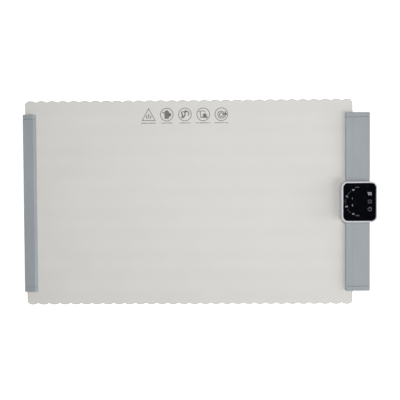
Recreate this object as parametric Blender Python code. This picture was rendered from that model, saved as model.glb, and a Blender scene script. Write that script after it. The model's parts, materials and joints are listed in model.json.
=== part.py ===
"""Roll-up food warming mat: a flexible silicone mat, a clip bar on its left edge
and a control bar with a touch control box on its right edge.

+X runs along the mat towards the control box, +Y across it and +Z up.
The origin is on the table, under the middle of the whole mat.
"""
import math

import bmesh
import bpy
from mathutils import Matrix, Vector

MM = 0.001

# ---- driving dimensions ------------------------------------------------------

# flexible mat
mat_length = 600 * MM
mat_width = 376 * MM               # over the tips of the scallops
scallop_count = 30                 # along each long edge
scallop_depth = 3 * MM
mat_corner_radius = 3 * MM
base_skin_thickness = 1.6 * MM
film_thickness = 0.4 * MM
top_skin_thickness = 2.2 * MM
film_margin = 12 * MM              # unheated silicone outside the film, from the valleys

# how the mat rolls up: rigid sections stand in for the flexible sheet
hinge_count = 8
tip_section_length = 36 * MM       # the last section, which carries the clip bar
inner_section_length = 50 * MM     # the innermost turn
section_growth = 4.4 * MM          # each section outwards is longer by this
hinge_gap = 0.3 * MM

# clip bar on the left edge
bar_inset = 25.5 * MM              # the bars stop this far short of the mat's long edges
clip_bar_width = 23 * MM
clip_bar_overhang = 2.5 * MM       # past the mat's edge
clip_bar_slope = 3.7 * MM          # width of its sloping inner side
bar_height = 12.3 * MM
bar_wall = 1.9 * MM
bar_chamfer = 1.5 * MM
cap_length = 8.5 * MM
cap_tongue_length = 6 * MM
bar_base_thickness = 1.6 * MM

# control bar on the right edge
control_bar_lap = 13.6 * MM        # over the mat
control_bar_reach = 29.9 * MM      # past the mat's edge
control_bar_lip_height = 12 * MM
control_bar_slope = 11 * MM
saddle_thickness = 1.2 * MM
clamp_strip_width = 9.9 * MM
clamp_strip_thickness = 1.2 * MM
clamp_strip_inset = 12.5 * MM      # from each end of the bar

# control box
box_length = 64.5 * MM             # along X, at its top
box_width = 74 * MM                # along Y, at its top
box_height = 24 * MM
box_draft = 0.4 * MM               # wider by this at each side of its foot
box_corner_radius = 11.5 * MM
box_wall = 1.8 * MM
box_floor_thickness = 1.6 * MM
box_foot_radius = 1.2 * MM
bezel_height = 4.7 * MM
bezel_rim = 2.7 * MM
bezel_ledge = 2.3 * MM
bezel_ledge_thickness = 1.3 * MM
bezel_edge_chamfer = 0.8 * MM
bezel_tongue_drop = 0.8 * MM
bezel_tongue_width = 1.5 * MM
glass_thickness = 1.2 * MM
glass_recess = 0.3 * MM

# electronics
board_thickness = 1.2 * MM
display_board_width = 49 * MM      # along Y
spring_height = 4.0 * MM
spring_radius = 2.6 * MM
spring_wire = 0.45 * MM            # wire radius
spring_turns = 3.5
touch_key_x = 18.2 * MM            # from the middle of the box
touch_key_pitch = 13.8 * MM
touch_key_shift = 1.7 * MM
power_board_back = 25.5 * MM       # its edge towards the mat, from the box's middle
power_board_front = 16 * MM        # its edge towards the inlet
power_board_width = 63 * MM
peg_height = 1.2 * MM
peg_radius = 2.4 * MM
peg_inset = 4 * MM
post_radius = 2.0 * MM
post_spread = 20 * MM              # of the display board's posts, from the middle
part_strip_width = 6.4 * MM        # tall parts beside the display board
relay_length = 20 * MM
relay_height = 8.4 * MM
transformer_length = 15 * MM
transformer_height = 7.8 * MM

# mains inlet, a two-pin figure-eight socket in the wall away from the mat
inlet_width = 19.2 * MM
inlet_height = 9.4 * MM
inlet_depth = 10.2 * MM
inlet_back_wall = 1.5 * MM
inlet_lobe_radius = 4.0 * MM
inlet_lobe_spread = 3.6 * MM
inlet_waist_height = 6.6 * MM
pin_radius = 1.2 * MM
pin_spread = 4.3 * MM
pin_reach = 7 * MM                 # into the socket
pin_tail = 2 * MM                  # behind it

# leads, heat sensors and screws
lead_radius = 1.2 * MM
lead_spread = 12 * MM
lead_stand_off = 6.5 * MM          # from the mat's edge to the upright stretch
lead_bend = 2.6 * MM
film_tab_reach = 1.2 * MM
film_tab_width = 8 * MM
sensor_spread = 55 * MM
cutout_size = (7 * MM, 12 * MM, 2.4 * MM)
sensor_radius = 1.2 * MM
sensor_length = 9 * MM
screw_radius = 1.3 * MM
screw_head_radius = 2.5 * MM
screw_head_height = 1.3 * MM
screw_sink = 0.2 * MM
screw_length = 8.6 * MM
screw_boss_radius = 3.2 * MM
clip_screw_from_end = 32.5 * MM
clip_screw_from_edge = 8.5 * MM    # from the mat's edge
control_screw_from_end = 24.5 * MM
control_screw_from_box = 25 * MM
control_screw_from_edge = 15 * MM  # past the mat's edge

gap = 0.3 * MM                     # between pieces that touch
hole_clearance = 0.3 * MM          # round screws, pins and leads

# ---- places worked out from them ----------------------------------------------

film_z = base_skin_thickness + gap
base_rim_z = film_z + film_thickness
top_skin_z = base_rim_z + gap
mat_top = top_skin_z + top_skin_thickness
hinge_z = mat_top

lip_z = mat_top + gap
saddle_z = lip_z + saddle_thickness
floor_z = saddle_z + gap
floor_top = floor_z + box_floor_thickness
bezel_z = box_height - bezel_height
housing_top = bezel_z - gap
box_slant = box_draft / (housing_top - floor_z)
box_widening = box_draft - box_slant * box_foot_radius
ledge_z = box_height - glass_recess - glass_thickness - gap
glass_z = ledge_z + gap
display_z = glass_z - gap - spring_height - gap - board_thickness
power_z = floor_top + peg_height + gap
power_top = power_z + board_thickness

box_middle_reach = (control_bar_reach - control_bar_lap) / 2
total_length = (clip_bar_overhang + mat_length + box_middle_reach
                + box_length / 2 + box_widening)
mat_x0 = -total_length / 2 + clip_bar_overhang
mat_x1 = mat_x0 + mat_length
half_width = mat_width / 2
film_half_width = half_width - scallop_depth - film_margin

clip_x0 = mat_x0 - clip_bar_overhang
clip_x1 = clip_x0 + clip_bar_width
control_x0 = mat_x1 - control_bar_lap
control_x1 = mat_x1 + control_bar_reach
bar_half = half_width - bar_inset
cover_half = bar_half - cap_length - gap
cover_half = bar_half - cap_length - gap
box_x = mat_x1 + box_middle_reach
section_lengths = [tip_section_length] + [
    inner_section_length + section_growth * i for i in range(hinge_count - 1)]


def hinge_places():
    """X of each hinge, counted from the control bar towards the clip bar."""
    places = []
    x = mat_x0
    for length in section_lengths:
        x += length
        places.append(x)
    return places[::-1]


hinges = hinge_places()

# ---- materials ------------------------------------------------------------------


def linear(red, green, blue):
    def one(value):
        value /= 255
        return value / 12.92 if value <= 0.04045 else ((value + 0.055) / 1.055) ** 2.4
    return (one(red), one(green), one(blue), 1.0)


FINISHES = {
    "silicone": (linear(216, 214, 210), 0.62, 0.0),
    "base_silicone": (linear(188, 187, 183), 0.7, 0.0),
    "film": (linear(52, 50, 48), 0.5, 0.0),
    "bar_plastic": (linear(152, 156, 160), 0.45, 0.0),
    "box_plastic": (linear(205, 207, 208), 0.4, 0.0),
    "black_glass": (linear(10, 11, 15), 0.08, 0.0),
    "board": (linear(30, 92, 58), 0.5, 0.0),
    "dark_plastic": (linear(34, 35, 37), 0.5, 0.0),
    "steel": (linear(190, 192, 194), 0.32, 1.0),
    "brass": (linear(205, 170, 96), 0.3, 1.0),
    "lead_red": (linear(168, 40, 34), 0.5, 0.0),
    "ferrite_tape": (linear(212, 180, 60), 0.45, 0.0),
}


def material(name):
    found = bpy.data.materials.get(name)
    if found:
        return found
    colour, roughness, metallic = FINISHES[name]
    made = bpy.data.materials.new(name)
    made.use_nodes = True
    shader = made.node_tree.nodes["Principled BSDF"]
    shader.inputs["Base Color"].default_value = colour
    shader.inputs["Roughness"].default_value = roughness
    shader.inputs["Metallic"].default_value = metallic
    made.diffuse_color = colour
    return made


# ---- modelling helpers -------------------------------------------------------------


def add_object(name, mesh_builder, finish, parent=None, place=(0, 0, 0)):
    mesh = bpy.data.meshes.new(name)
    mesh_builder.normal_update()
    mesh_builder.to_mesh(mesh)
    mesh_builder.free()
    made = bpy.data.objects.new(name, mesh)
    bpy.context.scene.collection.objects.link(made)
    if finish:
        mesh.materials.append(material(finish))
    made.location = place
    if parent:
        made.parent = parent
        made.location = Vector(place) - parent.matrix_world.translation
    return made


def extruded(outline, low, high, axis="Z"):
    """A closed prism: outline is (x, y) for axis Z, (x, z) for Y, (y, z) for X."""
    def at(point, depth):
        u, v = point
        return {"Z": (u, v, depth), "Y": (u, depth, v), "X": (depth, u, v)}[axis]
    mesh = bmesh.new()
    ends = [[mesh.verts.new(at(p, depth)) for p in outline] for depth in (low, high)]
    mesh.faces.new(ends[0])
    mesh.faces.new(ends[1])
    count = len(outline)
    for i in range(count):
        j = (i + 1) % count
        mesh.faces.new((ends[0][i], ends[0][j], ends[1][j], ends[1][i]))
    bmesh.ops.recalc_face_normals(mesh, faces=mesh.faces)
    return mesh


def block(low, high):
    """A plain box between two corners."""
    outline = [(low[0], low[1]), (high[0], low[1]), (high[0], high[1]), (low[0], high[1])]
    return extruded(outline, low[2], high[2])


def rounded_outline(half_x, half_y, radius, steps=12):
    """A rounded rectangle round (0, 0), anticlockwise."""
    points = []
    for corner, (sx, sy) in enumerate(((1, 1), (-1, 1), (-1, -1), (1, -1))):
        for step in range(steps + 1):
            angle = math.radians(90 * (corner + step / steps))
            points.append((sx * (half_x - radius) + radius * math.cos(angle),
                           sy * (half_y - radius) + radius * math.sin(angle)))
    return points


def lofted(rings, closed=False):
    """Skin a list of vertex rings; closed joins the last ring to the first."""
    mesh = bmesh.new()
    made = [[mesh.verts.new(p) for p in ring] for ring in rings]
    pairs = list(zip(made, made[1:]))
    if closed:
        pairs.append((made[-1], made[0]))
    count = len(rings[0])
    for lower, upper in pairs:
        for i in range(count):
            j = (i + 1) % count
            mesh.faces.new((lower[i], lower[j], upper[j], upper[i]))
    if not closed:
        mesh.faces.new(made[0])
        mesh.faces.new(made[-1])
    bmesh.ops.recalc_face_normals(mesh, faces=mesh.faces)
    return mesh


def turned(profile, segments=16):
    """A solid of revolution about Z; profile is (radius, z) from bottom to top."""
    rings = [[(r * math.cos(2 * math.pi * i / segments),
               r * math.sin(2 * math.pi * i / segments), z) for i in range(segments)]
             for r, z in profile]
    return lofted(rings)


def cylinder_along(axis, radius, low, high, segments=16):
    circle = [(radius * math.cos(2 * math.pi * i / segments),
               radius * math.sin(2 * math.pi * i / segments)) for i in range(segments)]
    return extruded(circle, low, high, axis)


def moved(mesh, x=0.0, y=0.0, z=0.0):
    bmesh.ops.translate(mesh, vec=(x, y, z), verts=mesh.verts)
    return mesh


def combine(body, tool_mesh, operation):
    """Cut tool_mesh from a body, or unite the two, with a live Boolean."""
    tool = add_object(f"tool_for_{body.name}", tool_mesh, None, body.parent,
                      body.matrix_world.translation if body.parent else (0, 0, 0))
    tool.location = body.location
    tool.display_type = "WIRE"
    tool.hide_render = True
    cut = body.modifiers.new(operation.lower(), "BOOLEAN")
    cut.operation = operation
    cut.object = tool


def subtract(body, tool_mesh):
    combine(body, tool_mesh, "DIFFERENCE")


def unite(body, tool_mesh):
    combine(body, tool_mesh, "UNION")


def smooth(body, degrees=35):
    for polygon in body.data.polygons:
        polygon.use_smooth = True
    body.data.set_sharp_from_angle(angle=math.radians(degrees))


def pivot(name, x):
    """The empty on a hinge's axis, which carries the next section of the mat."""
    made = bpy.data.objects.new(name, None)
    bpy.context.scene.collection.objects.link(made)
    made.matrix_world = Matrix.Translation((x, 0, hinge_z))
    return made


# ---- the mat --------------------------------------------------------------------------


def edge_y(x):
    """Half width of the mat at x: arcs between sharp valleys, with rounded corners."""
    pitch = mat_length / scallop_count
    radius = ((pitch / 2) ** 2 + scallop_depth ** 2) / (2 * scallop_depth)
    offset = (x - mat_x0) % pitch - pitch / 2
    scallop = half_width - radius + math.sqrt(radius ** 2 - offset ** 2)
    from_end = min(x - mat_x0, mat_x1 - x)
    if from_end >= mat_corner_radius:
        return scallop
    drop = math.sqrt(max(mat_corner_radius ** 2 - (mat_corner_radius - from_end) ** 2, 0))
    return min(scallop, half_width - scallop_depth - mat_corner_radius + drop)


def edge_samples(x_low, x_high, steps=6):
    """Places along the edge between x_low and x_high, on every arc's steps."""
    pitch = mat_length / scallop_count
    places = {round(mat_x0 + pitch * i / steps, 7) for i in range(scallop_count * steps + 1)}
    for step in range(1, 4):
        inset = mat_corner_radius * (1 - math.cos(math.radians(90 * step / 4)))
        places |= {round(mat_x0 + inset, 7), round(mat_x1 - inset, 7)}
    least = 0.2 * MM
    inner = [x for x in sorted(places) if x_low + least < x < x_high - least]
    return [x_low] + inner + [x_high]


def mat_outline(x_low, x_high):
    samples = edge_samples(x_low, x_high)
    upper = [(x, edge_y(x)) for x in reversed(samples)]
    lower = [(x, -edge_y(x)) for x in samples]
    return lower + upper


def skin_layer(name, x_low, x_high, low, high, finish, parent, origin):
    mesh = extruded(mat_outline(x_low, x_high), low, high)
    moved(mesh, -origin[0], 0, -origin[2])
    return add_object(name, mesh, finish, parent, origin)


def mat_section(index, x_low, x_high, parent):
    """Top skin, heating film and base skin of one section. Index 0 is the fixed one."""
    label = "root" if index == 0 else str(index)
    is_tip = index == hinge_count
    origin = parent.matrix_world.translation if parent else Vector((0, 0, 0))

    def local(mesh):
        return moved(mesh, -origin[0], 0, -origin[2])

    top = skin_layer(f"top_skin_{label}", x_low, x_high, top_skin_z, mat_top,
                     "silicone", parent, origin)
    base = skin_layer(f"base_skin_{label}", x_low, x_high, 0, base_rim_z,
                      "base_silicone", parent, origin)

    if is_tip:
        notch_low, notch_high = mat_x0 - 1 * MM, clip_x1 + gap
        for y in clip_screw_places():
            subtract(top, local(moved(cylinder_along(
                "Z", screw_radius + hole_clearance, 0, bar_height, 12),
                mat_x0 + clip_screw_from_edge, y)))
    else:
        pocket = film_half_width + gap
        subtract(base, local(block((x_low - 1 * MM, -pocket, base_skin_thickness),
                                   (x_high + 1 * MM, pocket, base_rim_z + 1 * MM))))
        notch_low, notch_high = control_x0 - gap, mat_x1 + 1 * MM
        film(label, x_low, x_high, parent, local, origin)

    if is_tip or index == 0:
        subtract(base, local(block((notch_low, -cover_half - gap, -1 * MM),
                                   (notch_high, cover_half + gap, base_rim_z + 1 * MM))))


def film(label, x_low, x_high, parent, local, origin):
    """The heating film; at the control bar it ends in two tabs for the leads."""
    half = film_half_width
    if label == "root":
        end = mat_x1 - gap
        outline = [(x_low, -half), (control_x0 - gap, -half)]
        outline += [(control_x0 - gap, -cover_half), (end, -cover_half)]
        for side in (-1, 1):
            middle = side * lead_spread
            outline += [(end, middle - film_tab_width / 2),
                        (end + film_tab_reach, middle - film_tab_width / 2),
                        (end + film_tab_reach, middle + film_tab_width / 2),
                        (end, middle + film_tab_width / 2)]
        outline += [(end, cover_half), (control_x0 - gap, cover_half)]
        outline += [(control_x0 - gap, half), (x_low, half)]
    else:
        outline = [(x_low, -half), (x_high, -half), (x_high, half), (x_low, half)]
    mesh = extruded(outline, film_z, base_rim_z)
    add_object(f"heating_film_{label}", local(mesh), "film", parent, origin)


def build_mat():
    """The fixed section, then each section on its hinge; returns the last pivot."""
    mat_section(0, hinges[0] + hinge_gap / 2, mat_x1, None)
    carrier = None
    for number, x in enumerate(hinges, start=1):
        empty = pivot(f"hinge_{number}", x)
        if carrier:
            empty.parent = carrier
            empty.matrix_parent_inverse = carrier.matrix_world.inverted()
        bpy.context.view_layer.update()
        is_tip = number == hinge_count
        low = mat_x0 if is_tip else hinges[number] + hinge_gap / 2
        mat_section(number, low, x - hinge_gap / 2, empty)
        carrier = empty
    return carrier


# ---- the bars --------------------------------------------------------------------------


def clip_screw_places():
    return [(bar_half - clip_screw_from_end) * i for i in (-1, 0, 1)]


def clip_bar_sides():
    """Outer outline of the clip bar in XZ, from its outer foot round to its inner lip."""
    return [(clip_x0, 0), (clip_x0, bar_height - bar_chamfer),
            (clip_x0 + bar_chamfer, bar_height), (clip_x1 - clip_bar_slope, bar_height),
            (clip_x1, lip_z)]


def clip_cover_outline():
    wall = bar_wall
    under = bar_height - wall
    return clip_bar_sides() + [
        (clip_x1 - 1.2 * wall, lip_z),
        (clip_x1 - clip_bar_slope - 0.7 * wall, under),
        (clip_x0 + wall + bar_chamfer / 2, under),
        (clip_x0 + wall, under - bar_chamfer / 2),
        (clip_x0 + wall, 0)]


def control_bar_sides():
    """Outer outline of the control bar in XZ, from its inner lip round to its foot."""
    return [(control_x0, lip_z), (control_x0, control_bar_lip_height),
            (control_x0 + control_bar_slope, bar_height),
            (control_x1 - bar_chamfer, bar_height),
            (control_x1, bar_height - bar_chamfer), (control_x1, 0)]


def control_cover_outline():
    wall = bar_wall
    under = bar_height - wall
    return control_bar_sides() + [
        (control_x1 - wall, 0), (control_x1 - wall, under - bar_chamfer / 2),
        (control_x1 - wall - bar_chamfer / 2, under),
        (control_x0 + control_bar_slope, under),
        (control_x0 + wall, control_bar_lip_height - wall), (control_x0 + wall, lip_z)]


def screw_boss(cover, x, y, origin):
    """A round boss under the cover's roof, with the screw's pilot hole."""
    roof = bar_height - bar_wall / 2
    unite(cover, moved(cylinder_along("Z", screw_boss_radius, lip_z, roof, 20),
                       x - origin[0], y, -origin[2]))
    pilot_top = screw_sink + screw_length + gap
    subtract(cover, moved(cylinder_along("Z", screw_radius + hole_clearance,
                                         0, pilot_top, 12), x - origin[0], y, -origin[2]))


def screw(name, x, y, parent, origin):
    """A countersunk screw, driven upwards from the underside."""
    head_top = screw_sink + screw_head_height
    end = screw_sink + screw_length
    mesh = turned([(screw_head_radius, screw_sink), (screw_radius, head_top),
                   (screw_radius, end - screw_radius), (screw_radius / 2, end)], 14)
    made = add_object(name, moved(mesh, x - origin[0], y, -origin[2]), "steel",
                      parent, origin)
    smooth(made)


def screw_hole(base, x, y, origin):
    """The countersunk hole in a bar's base."""
    low = -1 * MM
    head_top = screw_sink + screw_head_height
    narrow = screw_radius + hole_clearance
    wide = screw_head_radius + hole_clearance
    mesh = turned([(wide, low), (wide, screw_sink), (narrow, head_top),
                   (narrow, bar_height)], 14)
    subtract(base, moved(mesh, x - origin[0], y, -origin[2]))


def end_cap(name, side, outline, tongue_low, tongue_high, finish, parent, origin):
    """A cap on the end of a bar: the bar's full section and a tongue inside it."""
    inner, outer = side * (bar_half - cap_length), side * bar_half
    mesh = extruded(outline, min(inner, outer), max(inner, outer), "Y")
    made = add_object(name, moved(mesh, -origin[0], 0, -origin[2]), finish, parent, origin)
    tip = inner - side * cap_tongue_length
    root = inner + side * cap_length / 4
    low = (tongue_low[0], min(tip, root), tongue_low[1])
    high = (tongue_high[0], max(tip, root), tongue_high[1])
    unite(made, moved(block(low, high), -origin[0], 0, -origin[2]))


def clip_bar(parent):
    origin = parent.matrix_world.translation

    def local(mesh):
        return moved(mesh, -origin[0], 0, -origin[2])

    cover = add_object("clip_bar_cover", local(extruded(
        clip_cover_outline(), -cover_half, cover_half, "Y")), "bar_plastic", parent, origin)
    base_low = clip_x0 + bar_wall + gap
    base = add_object("clip_bar_base", local(block(
        (base_low, -cover_half, 0), (clip_x1, cover_half, base_rim_z))),
        "bar_plastic", parent, origin)
    screw_x = mat_x0 + clip_screw_from_edge
    for number, y in enumerate(clip_screw_places(), start=1):
        screw_boss(cover, screw_x, y, origin)
        screw_hole(base, screw_x, y, origin)
        screw(f"clip_bar_screw_{number}", screw_x, y, parent, origin)

    cap_outline = clip_bar_sides() + [(mat_x0 - gap, lip_z), (mat_x0 - gap, 0)]
    cavity_top = bar_height - bar_wall - gap
    tongue_low = (clip_x0 + bar_wall + bar_chamfer / 2 + gap, lip_z + gap)
    tongue_high = (clip_x1 - clip_bar_slope - 0.7 * bar_wall - gap, cavity_top)
    for name, side in (("front", -1), ("rear", 1)):
        end_cap(f"clip_bar_cap_{name}", side, cap_outline, tongue_low, tongue_high,
                "bar_plastic", parent, origin)


def control_bar():
    origin = (0, 0, 0)
    cover = add_object("control_bar_cover", extruded(
        control_cover_outline(), -cover_half, cover_half, "Y"), "bar_plastic")
    saddle_half = box_width / 2 + box_draft + gap
    strip_end = control_x0 + bar_wall + gap + clamp_strip_width
    subtract(cover, block((control_x0 - 1 * MM, -saddle_half, saddle_z),
                          (control_x1 + 1 * MM, saddle_half, bar_height + 1 * MM)))
    subtract(cover, block((control_x0 - 1 * MM, -saddle_half, 0),
                          (strip_end + gap, saddle_half, saddle_z + 1 * MM)))
    unite(cover, block((strip_end + gap, -saddle_half - bar_wall, lip_z),
                       (control_x1 - bar_wall / 2, saddle_half + bar_wall, saddle_z)))
    base = add_object("control_bar_base", block(
        (control_x0, -cover_half, 0),
        (control_x1 - bar_wall - gap, cover_half, bar_base_thickness)), "bar_plastic")
    screw_x = mat_x1 + control_screw_from_edge
    outer = bar_half - control_screw_from_end
    inner = box_width / 2 + control_screw_from_box
    for number, y in enumerate((-outer, -inner, inner, outer), start=1):
        screw_boss(cover, screw_x, y, origin)
        screw_hole(base, screw_x, y, origin)
        screw(f"control_bar_screw_{number}", screw_x, y, None, origin)
    for side in (-1, 1):
        subtract(cover, moved(cylinder_along(
            "Z", lead_radius + hole_clearance, lip_z - 1 * MM, saddle_z + 1 * MM, 12),
            mat_x1 + lead_stand_off, side * lead_spread))

    cap_outline = control_bar_sides() + [(mat_x1 + gap, 0), (mat_x1 + gap, lip_z)]
    tongue_low = (strip_end + gap, lip_z + gap)
    tongue_high = (control_x1 - bar_wall - bar_chamfer / 2 - gap,
                   bar_height - bar_wall - gap)
    for name, side in (("front", -1), ("rear", 1)):
        end_cap(f"control_bar_cap_{name}", side, cap_outline, tongue_low, tongue_high,
                "bar_plastic", None, origin)

    strip_low = strip_end - clamp_strip_width
    add_object("clamp_strip", block(
        (strip_low, clamp_strip_inset - bar_half, lip_z),
        (strip_end, bar_half - clamp_strip_inset, lip_z + clamp_strip_thickness)), "steel")


# ---- the control box ------------------------------------------------------------------------


def box_ring(inset, z, slant=0.0):
    """The box's outline at a height, drawn in by inset and out by the walls' slant."""
    grow = slant * (housing_top - z)
    half_x = box_length / 2 - inset + grow
    half_y = box_width / 2 - inset + grow
    radius = max(box_corner_radius - inset, 1 * MM)
    return [(box_x + x, y, z) for x, y in rounded_outline(half_x, half_y, radius)]


def housing():
    wall = box_wall
    mesh = lofted([
        box_ring(box_foot_radius, floor_z, box_slant),
        box_ring(0.3 * box_foot_radius, floor_z + 0.3 * box_foot_radius, box_slant),
        box_ring(0, floor_z + box_foot_radius, box_slant),
        box_ring(0, housing_top, box_slant),
        box_ring(wall, housing_top, box_slant),
        box_ring(wall, floor_top, box_slant)])
    made = add_object("box_housing", mesh, "box_plastic")
    for x, y in peg_places():
        unite(made, moved(cylinder_along("Z", peg_radius, floor_top - wall / 2,
                                         power_z - gap, 14), x, y))
    for x, y in post_places():
        unite(made, moved(cylinder_along("Z", post_radius, floor_top - wall / 2,
                                         display_z - gap, 14), x, y))
    for side in (-1, 1):
        subtract(made, moved(cylinder_along(
            "Z", lead_radius + hole_clearance, floor_z - 1 * MM, floor_top + 1 * MM, 12),
            mat_x1 + lead_stand_off, side * lead_spread))
    half = inlet_width / 2 + gap
    subtract(made, block((inlet_back() + inlet_back_wall, -half, floor_top),
                         (box_x + box_length, half, floor_top + inlet_height + 2 * gap)))


def peg_places():
    half = power_board_width / 2 - peg_inset
    return [(box_x + x, y) for x in (-power_board_back + peg_inset,
                                     power_board_front - peg_inset) for y in (-half, half)]


def post_places():
    reach = box_length / 2 - box_wall - post_radius
    return [(box_x + x, y) for x in (-reach, reach) for y in (-post_spread, post_spread)]


def bezel():
    ledge_inset = bezel_rim + bezel_ledge
    tongue_inset = box_wall + 2 * gap
    tongue_z = bezel_z - gap - bezel_tongue_drop
    inner_inset = tongue_inset + bezel_tongue_width
    under_ledge = ledge_z - bezel_ledge_thickness
    profile = [(0, bezel_z), (0, box_height - bezel_edge_chamfer),
               (0.3 * bezel_edge_chamfer, box_height - 0.3 * bezel_edge_chamfer),
               (bezel_edge_chamfer, box_height), (bezel_rim, box_height),
               (bezel_rim, ledge_z), (ledge_inset, ledge_z), (ledge_inset, under_ledge),
               (inner_inset, under_ledge), (inner_inset, tongue_z),
               (tongue_inset, tongue_z), (tongue_inset, bezel_z)]
    add_object("box_bezel", lofted([box_ring(inset, z) for inset, z in profile], True),
               "box_plastic")


def touch_glass():
    inset = bezel_rim + gap
    top = glass_z + glass_thickness
    edge = 0.25 * MM
    add_object("touch_glass", lofted([
        box_ring(inset, glass_z), box_ring(inset, top - edge),
        box_ring(inset + edge, top)]), "black_glass")


def key_places():
    return [touch_key_shift + touch_key_pitch * i for i in (-1, 0, 1)]


def display_board():
    """Carries the touch springs; notched round the top of the inlet."""
    half_x = box_length / 2 - box_wall - 3 * gap
    half_y = display_board_width / 2
    notch_x = inlet_back() - gap
    notch_y = inlet_width / 2 + 2 * gap
    x = box_x + half_x
    outline = [(box_x - half_x, -half_y), (x, -half_y), (x, -notch_y),
               (notch_x, -notch_y), (notch_x, notch_y), (x, notch_y),
               (x, half_y), (box_x - half_x, half_y)]
    add_object("display_board", extruded(outline, display_z, display_z + board_thickness),
               "board")
    bottom = display_z + board_thickness + gap
    for number, y in enumerate(key_places(), start=1):
        touch_spring(f"touch_spring_{number}", box_x + touch_key_x, y, bottom)


def touch_spring(name, x, y, bottom):
    """A touch key's contact spring: an open coil of round wire."""
    steps = 10
    sides = 6
    count = int(spring_turns * steps)
    rise = spring_height - 2 * spring_wire
    rings = []
    for i in range(count + 1):
        angle = 2 * math.pi * i / steps
        out = Vector((math.cos(angle), math.sin(angle), 0))
        centre = Vector((x, y, bottom + spring_wire + rise * i / count)) + spring_radius * out
        rings.append([centre + spring_wire * (
            out * math.cos(2 * math.pi * k / sides)
            + Vector((0, 0, 1)) * math.sin(2 * math.pi * k / sides)) for k in range(sides)])
    smooth(add_object(name, lofted(rings), "steel"))


def power_board():
    half = power_board_width / 2
    add_object("power_board", block(
        (box_x - power_board_back, -half, power_z),
        (box_x + power_board_front, half, power_top)), "board")
    bottom = power_top + gap
    outer = half
    middle = box_x + (power_board_front - power_board_back) / 2
    relay = add_object("heater_relay", block(
        (middle - relay_length / 2, outer - part_strip_width, bottom),
        (middle + relay_length / 2, outer, bottom + relay_height)), "dark_plastic")
    transformer = add_object("supply_transformer", block(
        (middle - transformer_length / 2, -outer, bottom),
        (middle + transformer_length / 2, -outer + part_strip_width,
         bottom + transformer_height)), "ferrite_tape")
    for made in (relay, transformer):
        soften = made.modifiers.new("edges", "BEVEL")
        soften.width = 0.5 * MM
        soften.segments = 2


def inlet_face():
    """X of the inlet's outer face, level with the housing's wall at mid height."""
    middle = floor_top + gap + inlet_height / 2
    return box_x + box_length / 2 + box_slant * (housing_top - middle)


def inlet_back():
    return inlet_face() - inlet_depth


def inlet_outline(steps=8):
    """The figure-eight opening in YZ, round (0, 0)."""
    reach = math.pi - math.asin(inlet_waist_height / 2 / inlet_lobe_radius)
    right = [(inlet_lobe_spread + inlet_lobe_radius * math.cos(a),
              inlet_lobe_radius * math.sin(a))
             for a in (-reach + 2 * reach * i / steps for i in range(steps + 1))]
    return right + [(-y, -z) for y, z in right]


def inlet():
    low = floor_top + gap
    middle = low + inlet_height / 2
    back = inlet_back()
    half = inlet_width / 2
    body = add_object("inlet_socket", block((back, -half, low),
                                            (inlet_face(), half, low + inlet_height)),
                      "dark_plastic")
    cavity = [(y, z + middle) for y, z in inlet_outline()]
    subtract(body, extruded(cavity, back + inlet_back_wall, inlet_face() + 1 * MM, "X"))
    for number, side in enumerate((-1, 1), start=1):
        hole = cylinder_along("X", pin_radius + hole_clearance, back - 1 * MM,
                              back + inlet_back_wall + 1 * MM, 12)
        subtract(body, moved(hole, 0, side * pin_spread, middle))
        pin = cylinder_along("X", pin_radius, back - pin_tail,
                             back + inlet_back_wall + pin_reach, 14)
        smooth(add_object(f"inlet_pin_{number}", moved(pin, 0, side * pin_spread, middle),
                          "brass"))


def lead(number, y):
    """An insulated lead from the film's tab up through the floor to the power board."""
    curve = bpy.data.curves.new(f"film_lead_{number}", "CURVE")
    curve.dimensions = "3D"
    curve.bevel_depth = lead_radius
    curve.bevel_resolution = 2
    curve.use_fill_caps = True
    start = mat_x1 - gap + film_tab_reach + gap
    upright = mat_x1 + lead_stand_off
    low = bar_base_thickness + gap + lead_radius
    route = [(start, low)]
    for step in range(7):
        angle = math.radians(90 * step / 6)
        route.append((upright - lead_bend + lead_bend * math.sin(angle),
                      low + lead_bend - lead_bend * math.cos(angle)))
    route.append((upright, power_z - gap))
    spline = curve.splines.new("POLY")
    spline.points.add(len(route) - 1)
    for point, (x, z) in zip(spline.points, route):
        point.co = (x, y, z, 1)
    made = bpy.data.objects.new(curve.name, curve)
    bpy.context.scene.collection.objects.link(made)
    curve.materials.append(material("lead_red"))


def heat_guards():
    """The thermal cut-out and the temperature sensor, both on the clamp strip."""
    bottom = lip_z + clamp_strip_thickness + gap
    middle = control_x0 + bar_wall + gap + clamp_strip_width / 2
    long, wide, high = cutout_size
    cutout = add_object("thermal_cutout", block(
        (middle - long / 2 + gap, -sensor_spread - wide / 2, bottom),
        (middle + long / 2 + gap, -sensor_spread + wide / 2, bottom + high)), "dark_plastic")
    soften = cutout.modifiers.new("edges", "BEVEL")
    soften.width = 0.5 * MM
    soften.segments = 2
    bead = cylinder_along("Y", sensor_radius, sensor_spread - sensor_length / 2,
                          sensor_spread + sensor_length / 2, 14)
    smooth(add_object("heat_sensor", moved(bead, middle, 0, bottom + sensor_radius),
                      "dark_plastic"))


def main():
    for existing in list(bpy.data.objects):
        bpy.data.objects.remove(existing, do_unlink=True)
    tip_pivot = build_mat()
    clip_bar(tip_pivot)
    control_bar()
    housing()
    bezel()
    touch_glass()
    display_board()
    power_board()
    inlet()
    for number, y in enumerate((-lead_spread, lead_spread), start=1):
        lead(number, y)
    heat_guards()


main()
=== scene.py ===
import json
import math

import bmesh
import bpy
from mathutils import Matrix, Vector

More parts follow.
